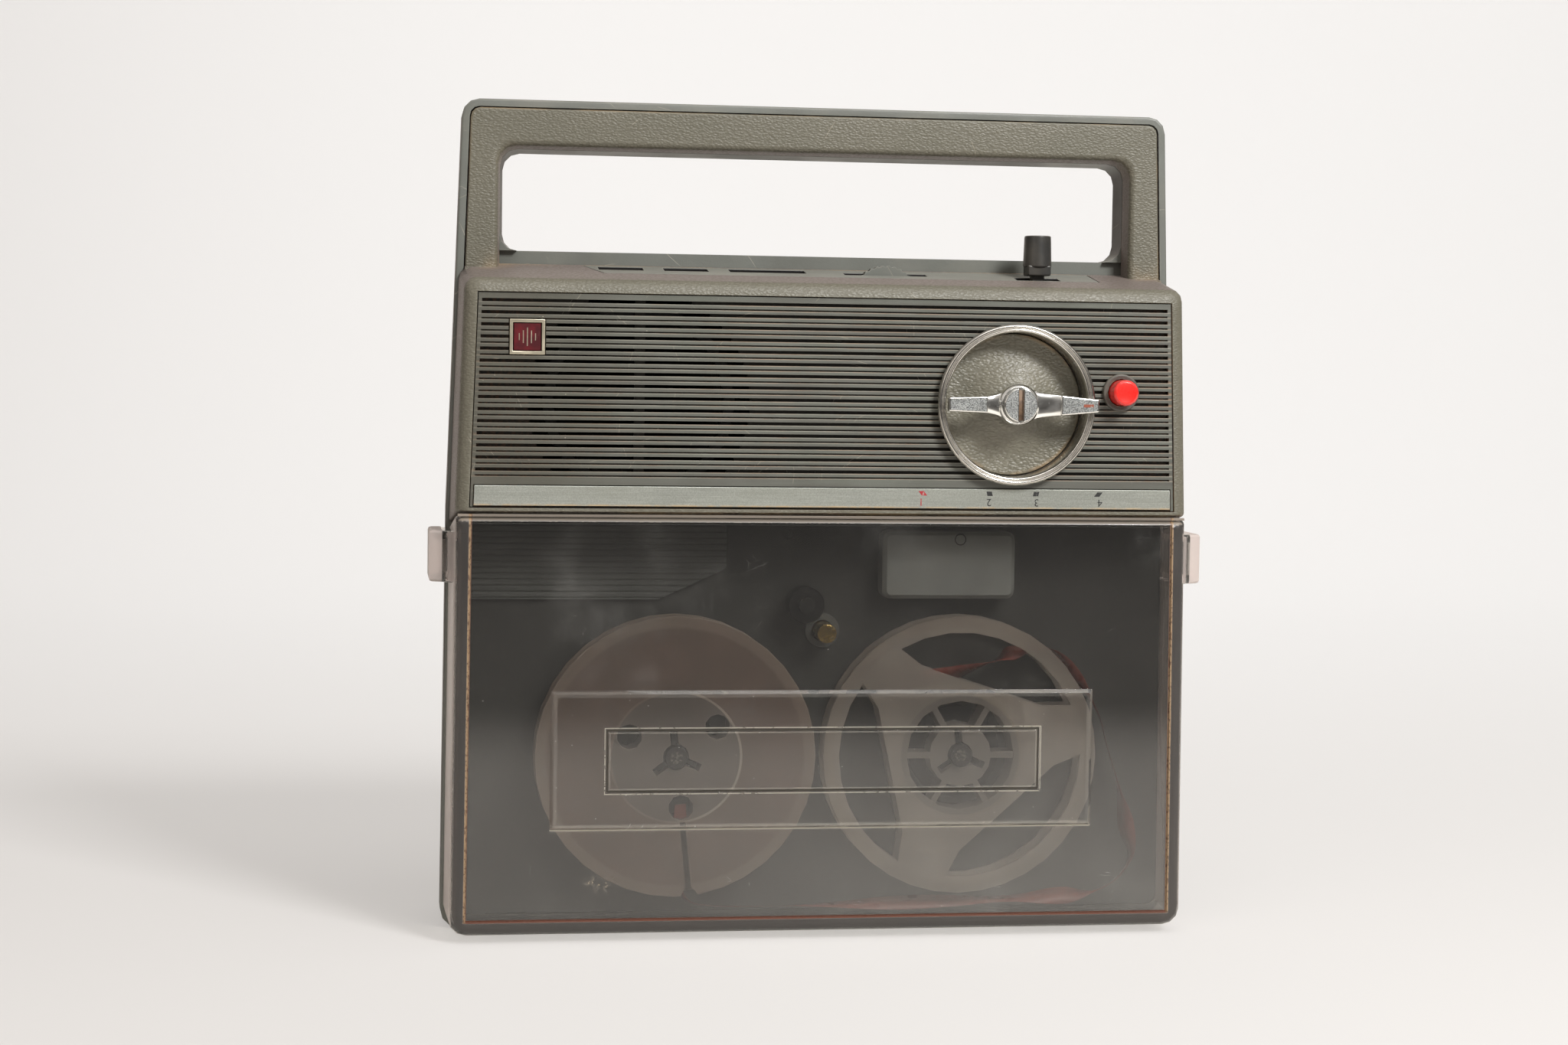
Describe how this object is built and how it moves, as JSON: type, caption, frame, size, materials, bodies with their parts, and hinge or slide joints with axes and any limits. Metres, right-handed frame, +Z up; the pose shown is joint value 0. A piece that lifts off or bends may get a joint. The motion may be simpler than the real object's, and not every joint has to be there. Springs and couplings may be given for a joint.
{
  "type": "portable reel-to-reel tape recorder",
  "caption": "Battery tape recorder standing on end, with moulded handle, ribbed speaker grille, selector lever, top controls and smoky hinged cover over small reels",
  "frame": {"origin": "on the floor plane, at the centre of the bounding box seen from above", "axes": "+X to the right of someone who faces the cover, +Y from the cover to the back, +Z up to the handle"},
  "size_m": [0.2288, 0.0724, 0.2436],
  "materials": {
    "case_shell": "smooth dark gray moulding",
    "leather_grain": "olive gray moulding with a leather grain",
    "ribbed_panel": "smooth ribbed moulding",
    "brushed_strip": "brushed lengthwise",
    "badge_frame": "pale and slightly tarnished",
    "badge_plate": "dark red",
    "chrome": "polished",
    "steel": "plain",
    "red_button": "glossy red",
    "switch_plastic": "moulded",
    "black_plastic": "satin black",
    "speaker_paper": "black paper cone",
    "smoky_clear": "smoky transparent, finely scratched",
    "deck": "dark gray paint",
    "reel_plastic": "brownish transparent",
    "tape": "reddish brown film",
    "brass": "turned",
    "rubber": "matte black",
    "board": "laminate with soldered parts",
    "cell_jacket": "printed metal jacket, unmarked"
  },
  "bodies": {
    "case": {"rear_shell": "case_shell", "front_shell": "leather_grain", "grille": "ribbed_panel", "silver_strip": "brushed_strip", "badge_frame": "badge_frame", "badge_plate": "badge_plate", "selector_ring": "chrome", "selector_dish": "leather_grain", "record_spring": "steel", "record_switch": "switch_plastic", "control_plate": "switch_plastic", "jack_block": "black_plastic", "volume_control": "steel", "slide_switch": "steel", "speaker_frame": "steel", "speaker_cone": "speaker_paper", "deck_plate": "deck", "leader_tape": "tape", "flywheel_bracket": "steel", "drive_belt": "rubber", "motor": "steel", "head_cover": "deck", "record_head": "steel", "erase_head": "steel", "circuit_board": "board", "battery_box": "switch_plastic", "battery_contact": "steel", "battery_cell_a": "cell_jacket", "battery_cell_b": "cell_jacket", "battery_cell_c": "cell_jacket", "battery_cell_d": "cell_jacket", "foot_low_left": "rubber", "foot_low_right": "rubber", "foot_high_left": "rubber", "foot_high_right": "rubber", "case_screw_low_left": "steel", "case_screw_low_right": "steel", "case_screw_high_left": "steel", "case_screw_high_right": "steel"},
    "cover": {"smoky_cover": "smoky_clear"},
    "selector": {"selector_lever": "chrome", "selector_cap": "chrome", "selector_shaft": "steel"},
    "button": {"record_button": "red_button"},
    "volume": {"volume_wheel": "switch_plastic"},
    "knob": {"switch_knob": "black_plastic"},
    "takeup": {"takeup_reel": "reel_plastic", "takeup_spindle": "black_plastic", "takeup_clutch_wheel": "switch_plastic", "tape_wrap": "tape"},
    "supply": {"supply_reel": "reel_plastic", "supply_spindle": "black_plastic", "supply_clutch_wheel": "switch_plastic"},
    "capstan_group": {"capstan": "brass", "flywheel": "steel"},
    "motor_group": {"motor_pulley": "brass"},
    "pinch_lever": {"pinch_arm": "steel"},
    "roller": {"pinch_roller": "rubber"},
    "door": {"battery_door": "case_shell"}
  },
  "joints": [
    {"name": "cover_hinge", "type": "hinge", "parent": "case", "child": "cover", "pos_m": [0, -0.0037, 0.0024], "axis": [1, 0, 0], "range_deg": [0, 90]},
    {"name": "selector_turn", "type": "hinge", "parent": "case", "child": "selector", "pos_m": [0.0548, -0.02815, 0.1569], "axis": [0, 1, 0], "range_deg": [0, 137]},
    {"name": "record_press", "type": "slide", "parent": "case", "child": "button", "axis": [0, 1, 0], "range_m": [0, 0.003], "stiffness_N_per_m": 300, "springref_m": -0.002, "deforming": ["record_spring"]},
    {"name": "volume_turn", "type": "hinge", "parent": "case", "child": "volume", "pos_m": [0.02, -0.00405, 0.18688], "axis": [0, 1, 0], "range_deg": [0, 300]},
    {"name": "switch_slide", "type": "slide", "parent": "case", "child": "knob", "axis": [1, 0, 0], "range_m": [-0.0024, 0.0013]},
    {"name": "takeup_spin", "type": "hinge", "parent": "case", "child": "takeup", "pos_m": [-0.0424, -0.01295, 0.0527], "axis": [0, 1, 0], "continuous": true},
    {"name": "supply_spin", "type": "hinge", "parent": "case", "child": "supply", "pos_m": [0.0424, -0.01295, 0.0527], "axis": [0, 1, 0], "continuous": true},
    {"name": "flywheel_spin", "type": "hinge", "parent": "case", "child": "capstan_group", "pos_m": [0.002, 0.00135, 0.0888], "axis": [0, 1, 0], "continuous": true},
    {"name": "motor_spin", "type": "hinge", "parent": "case", "child": "motor_group", "pos_m": [0.062, -0.00065, 0.095], "axis": [0, 1, 0], "continuous": true},
    {"name": "pinch_swing", "type": "hinge", "parent": "case", "child": "pinch_lever", "pos_m": [-0.0242, -0.00435, 0.0821], "axis": [0, 1, 0], "range_deg": [0, 4.2]},
    {"name": "roller_spin", "type": "hinge", "parent": "pinch_lever", "child": "roller", "pos_m": [-0.0042, -0.01305, 0.0971], "axis": [0, 1, 0], "continuous": true},
    {"name": "door_hinge", "type": "hinge", "parent": "case", "child": "door", "pos_m": [0, 0.03165, 0.1328], "axis": [-1, 0, 0], "range_deg": [0, 100]}
  ],
  "couplings": [
    {"joint": "motor_spin", "follows": "flywheel_spin", "ratio": 5.5833},
    {"joint": "pinch_swing", "follows": "selector_turn", "ratio": 0.0306}
  ]
}
